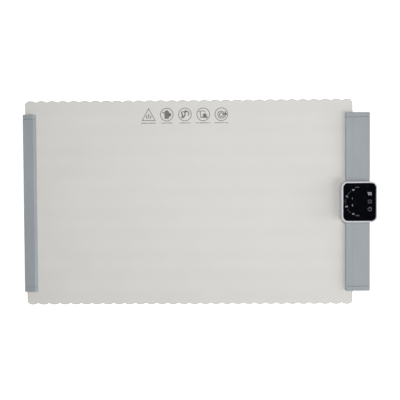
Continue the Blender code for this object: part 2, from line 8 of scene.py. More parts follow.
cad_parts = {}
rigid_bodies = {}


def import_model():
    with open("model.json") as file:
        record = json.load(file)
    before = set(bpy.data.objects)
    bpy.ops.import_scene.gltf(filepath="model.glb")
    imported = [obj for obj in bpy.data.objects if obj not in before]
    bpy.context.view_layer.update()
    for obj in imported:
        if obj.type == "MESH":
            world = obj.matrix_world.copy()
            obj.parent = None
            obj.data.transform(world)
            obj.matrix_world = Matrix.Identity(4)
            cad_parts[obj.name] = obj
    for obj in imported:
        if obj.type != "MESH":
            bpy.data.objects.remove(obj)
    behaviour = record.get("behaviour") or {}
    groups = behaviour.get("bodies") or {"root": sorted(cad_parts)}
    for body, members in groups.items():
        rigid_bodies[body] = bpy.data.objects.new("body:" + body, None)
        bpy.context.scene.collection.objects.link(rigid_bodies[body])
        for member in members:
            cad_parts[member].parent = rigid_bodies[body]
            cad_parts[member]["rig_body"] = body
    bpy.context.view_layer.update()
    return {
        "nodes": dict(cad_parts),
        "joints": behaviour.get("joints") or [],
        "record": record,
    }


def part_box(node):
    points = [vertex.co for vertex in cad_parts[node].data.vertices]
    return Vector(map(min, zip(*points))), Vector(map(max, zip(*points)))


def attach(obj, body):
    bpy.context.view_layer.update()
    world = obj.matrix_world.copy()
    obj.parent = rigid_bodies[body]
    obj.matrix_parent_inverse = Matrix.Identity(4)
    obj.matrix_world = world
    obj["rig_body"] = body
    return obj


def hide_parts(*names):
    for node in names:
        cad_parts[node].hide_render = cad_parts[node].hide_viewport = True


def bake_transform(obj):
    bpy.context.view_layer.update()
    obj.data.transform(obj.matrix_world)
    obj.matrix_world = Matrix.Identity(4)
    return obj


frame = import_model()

scene = bpy.context.scene
mm = 0.001
jointX = {j["name"]: j["pos_m"][0] for j in frame["joints"]}
hingeX = [jointX[f"roll_{k}"] for k in range(1, len(jointX) + 1)]
sections = [f"mat_section_{k}" for k in range(1, len(hingeX) + 1)]
print("frame loaded:", len(frame["nodes"]), "nodes,", len(hingeX), "hinges")


# ---- materials ----

def srgb(red, green, blue):
    def one(value):
        value /= 255
        return value / 12.92 if value <= 0.04045 else ((value + 0.055) / 1.055) ** 2.4
    return (one(red), one(green), one(blue), 1.0)


def startMaterial(name, colour, roughness, metallic=0.0, specular=0.5):
    made = bpy.data.materials.new(name)
    made.use_nodes = True
    shader = made.node_tree.nodes["Principled BSDF"]
    shader.inputs["Base Color"].default_value = srgb(*colour)
    shader.inputs["Roughness"].default_value = roughness
    shader.inputs["Metallic"].default_value = metallic
    shader.inputs["Specular IOR Level"].default_value = specular
    return made, made.node_tree, shader


def addNode(tree, kind, links=(), **values):
    # values set named inputs, or settings of the node itself; links are (input, socket) pairs
    node = tree.nodes.new(kind)
    for key, value in values.items():
        if key in node.inputs:
            node.inputs[key].default_value = value
        else:
            setattr(node, key, value)
    for key, socket in links:
        tree.links.new(socket, node.inputs[key])
    return node


def spotOf(tree, stretch=(1, 1, 1), flat=False):
    # a place on the piece: object coordinates, or the mat's own flat map
    if flat:
        source = addNode(tree, "ShaderNodeUVMap", uv_map="flat").outputs[0]
    else:
        source = addNode(tree, "ShaderNodeTexCoord").outputs["Object"]
    mapping = addNode(tree, "ShaderNodeMapping", [("Vector", source)], Scale=stretch)
    return mapping.outputs[0]


def noise(tree, spot, size, detail=3.0, rough=0.55):
    return addNode(tree, "ShaderNodeTexNoise", [("Vector", spot)],
                   Scale=1 / size, Detail=detail, Roughness=rough).outputs[0]


def ramp(tree, value, low, high, fromLow, fromHigh):
    return addNode(tree, "ShaderNodeMapRange", [("Value", value)], **{
        "From Min": fromLow, "From Max": fromHigh, "To Min": low, "To Max": high}).outputs[0]


def maths(tree, operation, first, second):
    node = addNode(tree, "ShaderNodeMath", operation=operation)
    for place, value in enumerate((first, second)):
        if isinstance(value, (int, float)):
            node.inputs[place].default_value = value
        else:
            tree.links.new(value, node.inputs[place])
    return node.outputs[0]


def waves(tree, operation, place, pitch):
    # a sine or cosine of a place along one axis, its pitch in metres
    return maths(tree, operation, maths(tree, "MULTIPLY", place, 2 * math.pi / pitch), 0.0)


def axisOf(tree, spot, axis):
    return addNode(tree, "ShaderNodeSeparateXYZ", [("Vector", spot)]).outputs[axis]


def mixed(tree, amount, first, second):
    node = addNode(tree, "ShaderNodeMix", data_type="RGBA")
    tree.links.new(amount, node.inputs["Factor"])
    for socket, value in ((node.inputs[6], first), (node.inputs[7], second)):
        if isinstance(value, tuple):
            socket.default_value = value
        else:
            tree.links.new(value, socket)
    return node.outputs[2]


def shade(colour, share):
    # the same colour, lighter or darker
    return tuple(min(channel * share, 1.0) for channel in colour[:3]) + (1.0,)


def drive(tree, shader, colour, roughness=None, metallic=None):
    # the sockets that the surface takes its values from
    for name, socket in (("Base Color", colour), ("Roughness", roughness),
                         ("Metallic", metallic)):
        if socket:
            tree.links.new(socket, shader.inputs[name])


def addBump(tree, shader, heights):
    # heights: (socket, depth in metres) pairs, from the coarsest to the finest
    normal = None
    for height, depth in heights:
        node = addNode(tree, "ShaderNodeBump", [("Height", height)], Strength=1.0, Distance=depth)
        if normal:
            tree.links.new(normal, node.inputs["Normal"])
        normal = node.outputs[0]
    tree.links.new(normal, shader.inputs["Normal"])


siliconeLook = {
    "colour": (203, 201, 197), "roughness": 0.58,
    "bandPitch": 38 * mm, "bandShare": 0.008,       # heater strips show faintly through
    "cloudSize": 90 * mm, "cloudShare": 0.02, "cloudDepth": 0.15 * mm,
    "speckSize": 1.6 * mm, "speckShare": 0.012,
    "grainSize": 0.45 * mm, "grainDepth": 0.02 * mm,
    "ribPitch": 3 * mm, "ribDepth": 0.12 * mm,
    # painted shade: the colour is darkened along the mat's rounded edge, fully within the first
    # distance, fading out by the second, to the share given last
    "rimLow": 1.2 * mm, "rimHigh": 2.6 * mm, "rimShare": 0.9,
}


def siliconeMaterial(name, look, colour, ribbed=False):
    made, tree, shader = startMaterial(name, colour, look["roughness"], specular=0.35)
    flat = spotOf(tree, flat=True)
    cloud = noise(tree, flat, look["cloudSize"], 2.0)
    speck = noise(tree, flat, look["speckSize"], 2.0)
    across = axisOf(tree, flat, "Y")
    band = ramp(tree, waves(tree, "COSINE", across, look["bandPitch"]),
                -look["bandShare"], look["bandShare"], -1.0, 1.0)
    light = maths(tree, "ADD", ramp(tree, cloud, 1 - look["cloudShare"], 1 + look["cloudShare"],
                                    0.3, 0.7), band)
    light = maths(tree, "ADD", light, ramp(tree, speck, -look["speckShare"],
                                           look["speckShare"], 0.3, 0.7))
    # painted shade: the colour is darkened close to the mat's edge, standing in for the shade on its
    # rounded rim
    edge = addNode(tree, "ShaderNodeAttribute", attribute_name="edgeDistance").outputs["Fac"]
    rim = ramp(tree, edge, look["rimShare"], 1.0, look["rimLow"], look["rimHigh"])
    light = maths(tree, "MULTIPLY", light, rim)
    colourNode = addNode(tree, "ShaderNodeMix", data_type="RGBA", blend_type="MULTIPLY")
    colourNode.inputs["Factor"].default_value = 1.0
    colourNode.inputs[6].default_value = srgb(*colour)
    grey = addNode(tree, "ShaderNodeCombineColor", [("Red", light), ("Green", light),
                                                    ("Blue", light)]).outputs[0]
    tree.links.new(grey, colourNode.inputs[7])
    drive(tree, shader, colourNode.outputs[2],
          ramp(tree, cloud, look["roughness"] - 0.06, look["roughness"] + 0.06, 0.3, 0.7))
    grain = noise(tree, flat, look["grainSize"], 4.0, 0.6)
    heights = [(cloud, look["cloudDepth"]), (grain, look["grainDepth"])]
    if ribbed:
        rows = waves(tree, "SINE", axisOf(tree, flat, "X"), look["ribPitch"])
        columns = waves(tree, "SINE", across, look["ribPitch"])
        heights.append((maths(tree, "MULTIPLY", rows, columns), look["ribDepth"]))
    addBump(tree, shader, heights)
    return made


plasticLook = {"flowSize": 22 * mm, "wearSize": 6 * mm, "wearDepth": 0.02 * mm,
               "grainSize": 0.35 * mm, "grainDepth": 0.012 * mm}


def mouldedPlastic(name, colour, roughness, mottle=0.03):
    # moulded plastic: slight flow marks, spark-eroded grain and handling wear
    made, tree, shader = startMaterial(name, colour, roughness)
    base = srgb(*colour)
    spot = spotOf(tree)
    flow = noise(tree, spotOf(tree, (1, 0.25, 1)), plasticLook["flowSize"], 3.0)
    fine = noise(tree, spot, plasticLook["grainSize"], 4.0, 0.65)
    wear = noise(tree, spot, plasticLook["wearSize"], 5.0, 0.7)
    mottled = mixed(tree, ramp(tree, flow, 0.0, 1.0, 0.35, 0.65),
                    shade(base, 1 - mottle), shade(base, 1 + mottle))
    speckled = mixed(tree, ramp(tree, fine, 0.0, 0.22, 0.55, 0.75), mottled, shade(base, 0.86))
    drive(tree, shader, speckled, ramp(tree, wear, roughness - 0.07, roughness + 0.09, 0.3, 0.7))
    addBump(tree, shader, [(wear, plasticLook["wearDepth"]), (fine, plasticLook["grainDepth"])])
    return made


def touchGlassMaterial():
    # near-black glass with wiped smears and a little dust
    colour = (6, 7, 11)
    made, tree, shader = startMaterial("touchGlass", colour, 0.07, specular=0.4)
    smear = noise(tree, spotOf(tree, (1, 2.2, 1)), 12 * mm, 5.0, 0.65)
    dust = noise(tree, spotOf(tree), 0.5 * mm, 2.0)
    drive(tree, shader, mixed(tree, ramp(tree, dust, 0.0, 1.0, 0.66, 0.8), srgb(*colour),
                              srgb(16, 17, 21)), ramp(tree, smear, 0.05, 0.16, 0.4, 0.75))
    addBump(tree, shader, [(smear, 0.004 * mm)])
    return made


def inkMaterial(name, colour, roughness=0.6):
    made, tree, shader = startMaterial(name, colour, roughness, specular=0.3)
    patch = noise(tree, spotOf(tree), 0.6 * mm, 3.0, 0.6)
    base = srgb(*colour)
    drive(tree, shader, mixed(tree, ramp(tree, patch, 0.0, 1.0, 0.35, 0.7),
                              shade(base, 0.88), shade(base, 1.1)))
    addBump(tree, shader, [(patch, 0.01 * mm)])
    return made


def metalMaterial(name, colour, roughness):
    # metal brushed along X, with faint stains
    made, tree, shader = startMaterial(name, colour, roughness, metallic=1.0)
    base = srgb(*colour)
    streak = noise(tree, spotOf(tree, (1, 30, 30)), 8 * mm, 6.0, 0.7)
    stain = noise(tree, spotOf(tree), 3 * mm, 4.0, 0.6)
    drive(tree, shader, mixed(tree, ramp(tree, stain, 0.0, 1.0, 0.4, 0.8), base,
                              shade(base, 0.72)),
          ramp(tree, streak, roughness - 0.08, roughness + 0.14, 0.3, 0.7))
    addBump(tree, shader, [(streak, 0.006 * mm)])
    return made


busEdge = (163 * mm, 163.3 * mm)                   # where the copper starts, from the middle


def filmMaterial():
    # carbon strips printed on a clear amber film, with a copper bus along each long side
    made, tree, shader = startMaterial("heatingFilm", (52, 50, 48), 0.5)
    flat = spotOf(tree, flat=True)
    across = axisOf(tree, flat, "Y")
    strips = ramp(tree, waves(tree, "COSINE", across, siliconeLook["bandPitch"] / 2),
                  0.0, 1.0, -0.5, -0.4)
    bus = ramp(tree, maths(tree, "ABSOLUTE", across, 0.0), 0.0, 1.0, *busEdge)
    speck = noise(tree, flat, 0.8 * mm, 3.0)
    carbon = mixed(tree, ramp(tree, speck, 0.0, 1.0, 0.3, 0.7), srgb(28, 27, 27), srgb(48, 46, 45))
    printed = mixed(tree, strips, srgb(176, 138, 70), carbon)
    drive(tree, shader, mixed(tree, bus, printed, srgb(190, 112, 70)),
          ramp(tree, strips, 0.25, 0.6, 0.0, 1.0), bus)
    addBump(tree, shader, [(strips, 0.03 * mm), (speck, 0.01 * mm)])
    return made


def boardMaterial():
    # green solder mask over copper tracks, with plated holes
    made, tree, shader = startMaterial("circuitBoard", (26, 84, 52), 0.35)
    spot = spotOf(tree)
    tracks = addNode(tree, "ShaderNodeTexBrick", [("Vector", spot)], Scale=1 / (9 * mm),
                     **{"Mortar Size": 0.035, "Brick Width": 0.9, "Row Height": 0.22})
    holes = addNode(tree, "ShaderNodeTexVoronoi", [("Vector", spot)], Scale=1 / (4.5 * mm))
    ring = ramp(tree, holes.outputs["Distance"], 1.0, 0.0, 0.09, 0.12)
    mask = mixed(tree, tracks.outputs["Fac"], srgb(22, 74, 46), srgb(46, 118, 74))
    drive(tree, shader, mixed(tree, ring, mask, srgb(196, 190, 160)), metallic=ring)
    addBump(tree, shader, [(tracks.outputs["Fac"], 0.03 * mm), (ring, 0.05 * mm)])
    return made


def tapeMaterial():
    # yellow winding tape round a dark core
    colour = (212, 178, 60)
    made, tree, shader = startMaterial("windingTape", colour, 0.4)
    spot = spotOf(tree)
    lap = waves(tree, "SINE", axisOf(tree, spot, "Z"), 1.6 * mm)
    grain = noise(tree, spot, 1 * mm, 4.0)
    drive(tree, shader, mixed(tree, ramp(tree, lap, 0.0, 1.0, 0.86, 0.97), srgb(*colour),
                              srgb(150, 118, 34)), ramp(tree, grain, 0.3, 0.5, 0.3, 0.7))
    addBump(tree, shader, [(lap, 0.05 * mm), (grain, 0.02 * mm)])
    return made


looks = {
    "silicone": siliconeMaterial("silicone", siliconeLook, siliconeLook["colour"]),
    "base_silicone": siliconeMaterial("siliconeUnderside", siliconeLook, (184, 183, 179), True),
    "film": filmMaterial(),
    "bar_plastic": mouldedPlastic("barPlastic", (141, 147, 151), 0.42),
    "box_plastic": mouldedPlastic("boxPlastic", (190, 192, 196), 0.34, mottle=0.02),
    "black_glass": touchGlassMaterial(),
    "board": boardMaterial(),
    "dark_plastic": mouldedPlastic("darkPlastic", (34, 35, 37), 0.5, mottle=0.1),
    "steel": metalMaterial("platedSteel", (190, 192, 194), 0.3),
    "brass": metalMaterial("platedBrass", (208, 176, 108), 0.26),
    "lead_insulation": mouldedPlastic("leadInsulation", (168, 40, 34), 0.45, mottle=0.06),
    "ferrite_tape": tapeMaterial(),
    "greyInk": inkMaterial("greyInk", (112, 112, 110)),
    "faintInk": inkMaterial("faintInk", (132, 131, 129)),
    "whiteInk": inkMaterial("whiteInk", (150, 151, 155), 0.5),
    "dimInk": inkMaterial("dimInk", (84, 84, 88), 0.5),
}
print("materials ready:", len(looks))


# ---- shared making ----

def addObject(name, data):
    made = bpy.data.objects.new(name, data)
    scene.collection.objects.link(made)
    return made


def keep(name, builder, look, sharpAngle):
    # a finished piece: at the origin, smooth, with its material
    mesh = bpy.data.meshes.new(name)
    builder.normal_update()
    builder.to_mesh(mesh)
    builder.free()
    mesh.materials.append(looks[look])
    mesh.shade_smooth()
    mesh.set_sharp_from_angle(angle=math.radians(sharpAngle))
    return addObject(name, mesh)


def outward(builder):
    bmesh.ops.recalc_face_normals(builder, faces=builder.faces)
    return builder


def addPrism(builder, outline, low, high):
    # an outline raised from low to high
    ends = [[builder.verts.new((x, y, z)) for x, y in outline] for z in (low, high)]
    builder.faces.new(ends[0][::-1])
    builder.faces.new(ends[1])
    for i in range(len(outline)):
        j = (i + 1) % len(outline)
        builder.faces.new((ends[0][i], ends[0][j], ends[1][j], ends[1][i]))


def prism(outline, low, high):
    builder = bmesh.new()
    addPrism(builder, outline, low, high)
    return outward(builder)


def sliceAt(builder, x, **clear):
    # one cut through everything, square to X
    whole = builder.verts[:] + builder.edges[:] + builder.faces[:]
    return bmesh.ops.bisect_plane(builder, geom=whole, plane_co=(x, 0, 0), plane_no=(1, 0, 0),
                                  **clear)


def footOf(nodeName, lift=0.0):
    # the middle of a node's underside
    low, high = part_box(nodeName)
    return ((low.x + high.x) / 2, (low.y + high.y) / 2, low.z + lift)


def vectorOf(tree, **axes):
    return addNode(tree, "ShaderNodeCombineXYZ", list(axes.items())).outputs[0]


def meshOf(made):
    # the evaluated shape as a new mesh
    bpy.context.view_layer.update()
    ready = made.evaluated_get(bpy.context.evaluated_depsgraph_get())
    return bpy.data.meshes.new_from_object(ready)


def plainCopy(made):
    # the piece with its modifiers worked into a plain mesh
    mesh = meshOf(made)
    made.modifiers.clear()
    made.data = mesh
    return made


def runTree(tree, name, values, points=()):
    # run a geometry tree once and keep its result as a plain mesh
    seed = bpy.data.meshes.new(name + "Seed")
    seed.from_pydata([tuple(p) for p in points], [], [])
    holder = addObject(name, seed)
    modifier = holder.modifiers.new("shape", "NODES")
    modifier.node_group = tree
    for item in tree.interface.items_tree:
        if item.item_type == "SOCKET" and item.in_out == "INPUT" and item.name in values:
            modifier[item.identifier] = values[item.name]
    return plainCopy(holder)


def startTree(name, **inputs):
    # a geometry tree with named inputs, each given as its socket's kind
    tree = bpy.data.node_groups.new(name, "GeometryNodeTree")
    tree.interface.new_socket("Geometry", in_out="INPUT", socket_type="NodeSocketGeometry")
    for label, kind in inputs.items():
        tree.interface.new_socket(label, in_out="INPUT", socket_type="NodeSocket" + kind)
    tree.interface.new_socket("Geometry", in_out="OUTPUT", socket_type="NodeSocketGeometry")
    return tree, tree.nodes.new("NodeGroupInput").outputs


def endTree(tree, given, shape, material, *links):
    # the shape on every point, then Realize Instances and Set Material
    placed = addNode(tree, "GeometryNodeInstanceOnPoints", [
        ("Points", given["Geometry"]), ("Instance", shape), *links])
    real = addNode(tree, "GeometryNodeRealizeInstances", [("Geometry", placed.outputs[0])])
    painted = addNode(tree, "GeometryNodeSetMaterial", [("Geometry", real.outputs[0]),
                                                        ("Material", material)])
    out = tree.nodes.new("NodeGroupOutput")
    tree.links.new(painted.outputs[0], out.inputs[0])
    return tree


# ---- the mat: top skin, heating film and base skin ----

topSkin = {"low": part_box("top_skin_root")[0].z - 0.14 * mm, "high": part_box("top_skin_root")[1].z,
           "roundTop": 1.5 * mm, "roundLow": 0.25 * mm}
baseSkin = {"low": 0.0, "high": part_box("base_skin_root")[1].z + 0.11 * mm,
            "roundTop": 0.25 * mm, "roundLow": 0.9 * mm, "pocket": 1.6 * mm}
filmSheet = {"low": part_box("heating_film_1")[0].z, "high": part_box("heating_film_1")[1].z,
             "half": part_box("heating_film_1")[1].y, "tabHalf": 4 * mm, "tabLong": 1.2 * mm}
matEdge = {"scallops": 30, "depth": 3 * mm, "steps": 12, "corner": 3 * mm,
           "insets": [0, 0.04, 0.12, 0.25, 0.45, 0.75, 1.1, 1.5, 2.0, 2.8, 3.8]}
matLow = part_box("top_skin_8")[0].x
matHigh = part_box("top_skin_root")[1].x
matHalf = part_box("top_skin_root")[1].y
matTop = topSkin["high"]
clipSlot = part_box("clip_bar_base")
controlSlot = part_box("control_bar_base")
clearance = 0.3 * mm                               # round the bars' bases and the film
clipNotch = clipSlot[1].x + clearance
controlNotch = controlSlot[0].x - clearance
slotHalf = clipSlot[1].y + clearance
pocketHalf = filmSheet["half"] + clearance


def middleOf(k):
    # the middle of the moving section k, counted from the control box
    return (hingeX[k - 1] + hingeX[k]) / 2


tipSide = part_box("clip_bar_cover")[1].x + 2 * mm
firstReach = hingeX[0] - middleOf(1)
cuts = [hingeX[0] + firstReach] + [middleOf(k) for k in range(1, len(hingeX))] + [tipSide]


def edgeHalf(x):
    # the mat's half width at x: arcs between valleys, with rounded corners
    pitch = (matHigh - matLow) / matEdge["scallops"]
    radius = ((pitch / 2) ** 2 + matEdge["depth"] ** 2) / (2 * matEdge["depth"])
    offset = (x - matLow) % pitch - pitch / 2
    arc = matHalf - radius + math.sqrt(radius ** 2 - offset ** 2)
    fromEnd = min(x - matLow, matHigh - x)
    corner = matEdge["corner"]
    if fromEnd >= corner:
        return arc
    drop = math.sqrt(max(corner ** 2 - (corner - fromEnd) ** 2, 0))
    return min(arc, matHalf - matEdge["depth"] - corner + drop)


def edgeGap(x, y):
    return max(min(edgeHalf(x) - abs(y), x - matLow, matHigh - x), 0.0)


def roundDrop(distance, radius):
    if distance >= radius:
        return 0.0
    return radius - math.sqrt(max(radius ** 2 - (radius - distance) ** 2, 0))


def matRows():
    count = matEdge["scallops"] * matEdge["steps"]
    rows = {round(matLow + (matHigh - matLow) * i / count, 7) for i in range(count + 1)}
    for inset in matEdge["insets"]:
        rows |= {round(matLow + inset * mm, 7), round(matHigh - inset * mm, 7)}
    return sorted(rows)


allRows = matRows()


def rowsBetween(low, high, extra=()):
    least = 0.15 * mm
    rows = [x for x in allRows if low + least < x < high - least]
    rows = [x for x in rows if all(abs(x - e) > least for e in extra)]
    doubled = [e for e in extra if low < e < high for _ in (0, 1)]
    return [low] + sorted(rows + doubled) + [high]


def columnsAt(half, fixed):
    insets = [half - i * mm for i in matEdge["insets"]]
    return [-y for y in insets] + fixed + insets[::-1]


def gridSolid(rows, columnsOf, topOf, lowOf):
    # a closed slab between two height fields over the same rows and columns
    builder = bmesh.new()
    grids = []
    for heightOf in (lowOf, topOf):
        grid = []
        for number, x in enumerate(rows):
            columns = columnsOf(x)
            pair = number + 1 < len(rows) and rows[number + 1] == x
            side = x - 1e-6 if pair else x + 1e-6
            if number in (0, len(rows) - 1):
                side = x
            line = []
            for place, y in enumerate(columns):
                inner = y
                if place + 1 < len(columns) and columns[place + 1] == y:
                    inner = y - 1e-6
                elif place and columns[place - 1] == y:
                    inner = y + 1e-6
                line.append(builder.verts.new((x, y, heightOf(side, inner))))
            grid.append(line)
        grids.append(grid)
    low, top = grids
    rowCount, columnCount = len(low), len(low[0])
    for i in range(rowCount - 1):
        for j in range(columnCount - 1):
            builder.faces.new((top[i][j], top[i + 1][j], top[i + 1][j + 1], top[i][j + 1]))
            builder.faces.new((low[i][j], low[i][j + 1], low[i + 1][j + 1], low[i + 1][j]))
        for j, turn in ((0, 1), (columnCount - 1, -1)):
            ring = (low[i][j], low[i + 1][j], top[i + 1][j], top[i][j])
            builder.faces.new(ring[::turn])
    for j in range(columnCount - 1):
        for i, turn in ((0, -1), (rowCount - 1, 1)):
            ring = (low[i][j], low[i][j + 1], top[i][j + 1], top[i][j])
            builder.faces.new(ring[::turn])
    bmesh.ops.remove_doubles(builder, verts=builder.verts, dist=0.5e-6)
    return builder


def addFlatMap(piece):
    # the mat's place before it rolls, in metres, and how far each point is from the edge
    mesh = piece.data
    layer = mesh.uv_layers.new(name="flat")
    for loop in mesh.loops:
        spot = mesh.vertices[loop.vertex_index].co
        layer.data[loop.index].uv = (spot.x, spot.y)
    gaps = mesh.attributes.new("edgeDistance", "FLOAT", "POINT")
    for vertex in mesh.vertices:
        gaps.data[vertex.index].value = edgeGap(vertex.co.x, vertex.co.y)
    return piece


fixedColumns = [pocketHalf, pocketHalf, slotHalf, slotHalf]
fixedColumns += [22 * k * mm for k in (6, 5, 4, 3, 2, 1)]
fixedColumns = [-y for y in fixedColumns] + [0.0] + fixedColumns[::-1]


def inSlot(x, y):
    # over a bar's base the mat has no base skin
    if abs(y) > slotHalf:
        return False
    return x < clipNotch or x > controlNotch


def topSkinPiece(low, high):
    return gridSolid(
        rowsBetween(low, high), lambda x: columnsAt(edgeHalf(x), fixedColumns),
        lambda x, y: topSkin["high"] - roundDrop(edgeGap(x, y), topSkin["roundTop"]),
        lambda x, y: topSkin["low"] + roundDrop(edgeGap(x, y), topSkin["roundLow"]))


def baseSkinPiece(low, high):
    def topHeight(x, y):
        if abs(y) < pocketHalf and x > tipSide:
            return baseSkin["pocket"]
        return baseSkin["high"] - roundDrop(edgeGap(x, y), baseSkin["roundTop"])

    def lowHeight(x, y):
        return baseSkin["low"] + roundDrop(edgeGap(x, y), baseSkin["roundLow"])

    builder = gridSolid(rowsBetween(low, high, [clipNotch, controlNotch, tipSide]),
                        lambda x: columnsAt(edgeHalf(x), fixedColumns), topHeight, lowHeight)
    empty = [f for f in builder.faces if inSlot(*f.calc_center_median()[:2])]
    if empty:
        # the notch's walls are closed again, from the rim above to the rim below
        bmesh.ops.delete(builder, geom=empty, context="FACES")
        rim = [e for e in builder.edges if len(e.link_faces) == 1]
        wallPairs = {}
        for vertex in {v for e in rim for v in e.verts}:
            wallPairs.setdefault((round(vertex.co.x, 6), round(vertex.co.y, 6)), []).append(vertex)
        for edge in rim:
            if not edge.is_valid or len(edge.link_faces) != 1:
                continue
            ends = [wallPairs[(round(v.co.x, 6), round(v.co.y, 6))] for v in edge.verts]
            others = [[v for v in pair if v not in edge.verts] for pair in ends]
            if others[0] and others[1] and not builder.faces.get(
                    (edge.verts[0], edge.verts[1], others[1][0], others[0][0])):
                builder.faces.new((edge.verts[0], edge.verts[1], others[1][0], others[0][0]))
        outward(builder)
    return builder


def filmPiece(low, high):
    half = filmSheet["half"]
    columns = [-half + 2 * half * i / 12 for i in range(13)]
    return gridSolid(rowsBetween(low, high), lambda x: columns,
                     lambda x, y: filmSheet["high"], lambda x, y: filmSheet["low"])


def filmRootPiece(low, high):
    # narrower between the control bar's screws, with a tab for each lead
    half = filmSheet["half"]
    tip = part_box("heating_film_root")[1].x
    tabHalf, tabRoot = filmSheet["tabHalf"], tip - filmSheet["tabLong"]
    neckHalf = slotHalf - clearance
    right = [(controlNotch, -half), (controlNotch, -neckHalf), (tabRoot, -neckHalf)]
    for y in sorted(footOf(f"film_lead_{k}")[1] for k in (1, 2)):
        right += [(tabRoot, y - tabHalf), (tip, y - tabHalf), (tip, y + tabHalf),
                  (tabRoot, y + tabHalf)]
    right += [(tabRoot, neckHalf), (controlNotch, neckHalf), (controlNotch, half)]
    return prism([(low, -half)] + right + [(low, half)], filmSheet["low"], filmSheet["high"])


layers = [("topSkin", "top_skin", topSkinPiece, "silicone"),
          ("heatingFilm", "heating_film", filmPiece, "film"),
          ("baseSkin", "base_skin", baseSkinPiece, "base_silicone")]
bounds = [matHigh] + cuts + [matLow]           # stretch k runs from bounds[k + 1] to bounds[k]


def followSheet(piece, k):
    # stretch 0 stays on the control bar, the last on the clip bar; each between only has its place
    # baked into its mesh
    if k == 0:
        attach(piece, "controller")
    elif k == len(bounds) - 2:
        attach(piece, sections[-1])
    else:
        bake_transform(piece)
    return piece


for label, nodeName, maker, slotName in layers:
    for k in range(len(bounds) - 1):
        if label == "heatingFilm" and k == len(bounds) - 2:
            continue                                 # no film under the clip bar
        make = filmRootPiece if label == "heatingFilm" and k == 0 else maker
        piece = keep(f"{label}_{k}", make(bounds[k + 1], bounds[k]), slotName, 50)
        addFlatMap(piece)
        followSheet(piece, k)
        node = "root" if k == 0 else str(min(k, len(hingeX)))
        if f"{nodeName}_{node}" in frame["nodes"]:
            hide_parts(f"{nodeName}_{node}")
    print("made", label)


# ---- printed symbols on the mat ----

symbols = {"firstX": -91.6 * mm, "pitch": 33.3 * mm, "y": 161.2 * mm, "rise": 0.07 * mm,
           "ring": 11.6, "line": 1.2, "ruleDrop": 15.4 * mm, "ruleHigh": 1.7 * mm,
           "rulePitch": 2.3 * mm, "ruleLong": [12, 9, 9, 12, 11],   # ring and line in millimetres
           "dashWide": (1.2 * mm, 2.15 * mm)}
printLift = 0.01 * mm                              # prints stand clear of what they are on


def ribbon(builder, points, width, low, high, closed=False):
    # a flat printed line along points, mitred at its corners
    spots = [Vector(p) for p in points]
    count = len(spots)
    rings = []
    for i, spot in enumerate(spots):
        before = spots[i - 1] if i or closed else spot
        after = spots[(i + 1) % count] if i + 1 < count or closed else spot
        arriving, leaving = (spot - before).normalized(), (after - spot).normalized()
        along = (arriving + leaving).normalized()
        spread = 1 / max(along.dot(leaving or arriving), 0.4)
        side = Vector((-along.y, along.x)) * spread * width / 2
        rings.append([builder.verts.new((*(spot + s * side), z))
                      for s, z in ((-1, low), (1, low), (1, high), (-1, high))])
    pairs = list(zip(rings, rings[1:])) + ([(rings[-1], rings[0])] if closed else [])
    for first, second in pairs:
        for i in range(4):
            j = (i + 1) % 4
            builder.faces.new((first[i], first[j], second[j], second[i]))
    if not closed:
        builder.faces.new(rings[0][::-1])
        builder.faces.new(rings[-1])


def arcPoints(x, y, radius, start=0, sweep=360, steps=32, squash=1.0):
    count = steps + (0 if abs(sweep) == 360 else 1)
    turns = [math.radians(start + sweep * i / steps) for i in range(count)]
    return [(x + radius * math.cos(t), y + squash * radius * math.sin(t)) for t in turns]


def penAt(builder, x, y, low, high):
    # a pen and a filler that work in millimetres round a symbol's middle
    def place(points):
        return [(x + px * mm, y + py * mm) for px, py in points]

    def draw(points, width=symbols["line"], closed=False):
        ribbon(builder, place(points), width * mm, low, high, closed)

    def fill(points):
        addPrism(builder, place(points), low, high)

    return draw, fill


def risingHeat(draw, fill):
    draw([(0, 11.0), (11.9, -10.6), (-11.9, -10.6)], closed=True)
    for shift, tall in ((-3.6, 5.2), (0, 8.0), (3.6, 5.2)):
        draw([(shift + 0.6 * math.sin(k * 1.4), -7.2 + tall * k / 5) for k in range(6)], 1.4)


def ovenGlove(draw, fill):
    fill(arcPoints(0, 2.6, 4.3, 0, 180, 16, 1.25) + [(-4.3, -7.6), (3.4, -7.6), (4.3, -4.4)])
    fill(arcPoints(5.6, -0.2, 2.4, steps=18, squash=1.5))
    draw([(-8.4, 5.0), (-4.6, 2.6)], 1.1)


def spoutAndDrop(draw, fill):
    draw([(-6.4, 4.6), (-4.9, -1.2), (-3.9, -6.6)], 2.4)
    draw([(-6.6, 5.0), (-2.4, 5.2), (0.6, 2.0), (-1.4, -3.8)], 1.4)
    draw(arcPoints(3.0, 1.6, 4.2, 100, -150, 14), 1.7)
    fill(arcPoints(1.2, 5.6, 2.3, steps=18))


def sheetAndWeight(draw, fill):
    draw([(-8.4, 5.4), (-5.4, 4.4), (-4.6, -5.2), (8.2, -5.2)], 1.3)
    draw(arcPoints(-1.0, 2.6, 5.4, 20, 130, 12, 0.7), 1.2)
    fill(arcPoints(2.8, -1.4, 3.7, steps=20, squash=0.9))


def rollingMat(draw, fill):
    turn, inner, outer, steps = 2.1 * 2 * math.pi, 1.9, 8.2, 44
    spiral = [(inner + (outer - inner) * k / steps, turn * k / steps) for k in range(steps + 1)]
    draw([(radius * math.cos(t), radius * math.sin(t)) for radius, t in spiral], 1.5)
    draw([(1.6, 0.3), (10.2, 0.3)], 1.3)


def drawSymbols():
    # five in a row, each but the first in a ring
    builder = bmesh.new()
    for number, drawn in enumerate((risingHeat, ovenGlove, spoutAndDrop, sheetAndWeight,
                                    rollingMat)):
        x = symbols["firstX"] + symbols["pitch"] * number
        draw, fill = penAt(builder, x, symbols["y"], matTop + printLift, matTop + symbols["rise"])
        if number:
            draw(arcPoints(0, 0, symbols["ring"], steps=48), closed=True)
        drawn(draw, fill)
    return outward(builder)


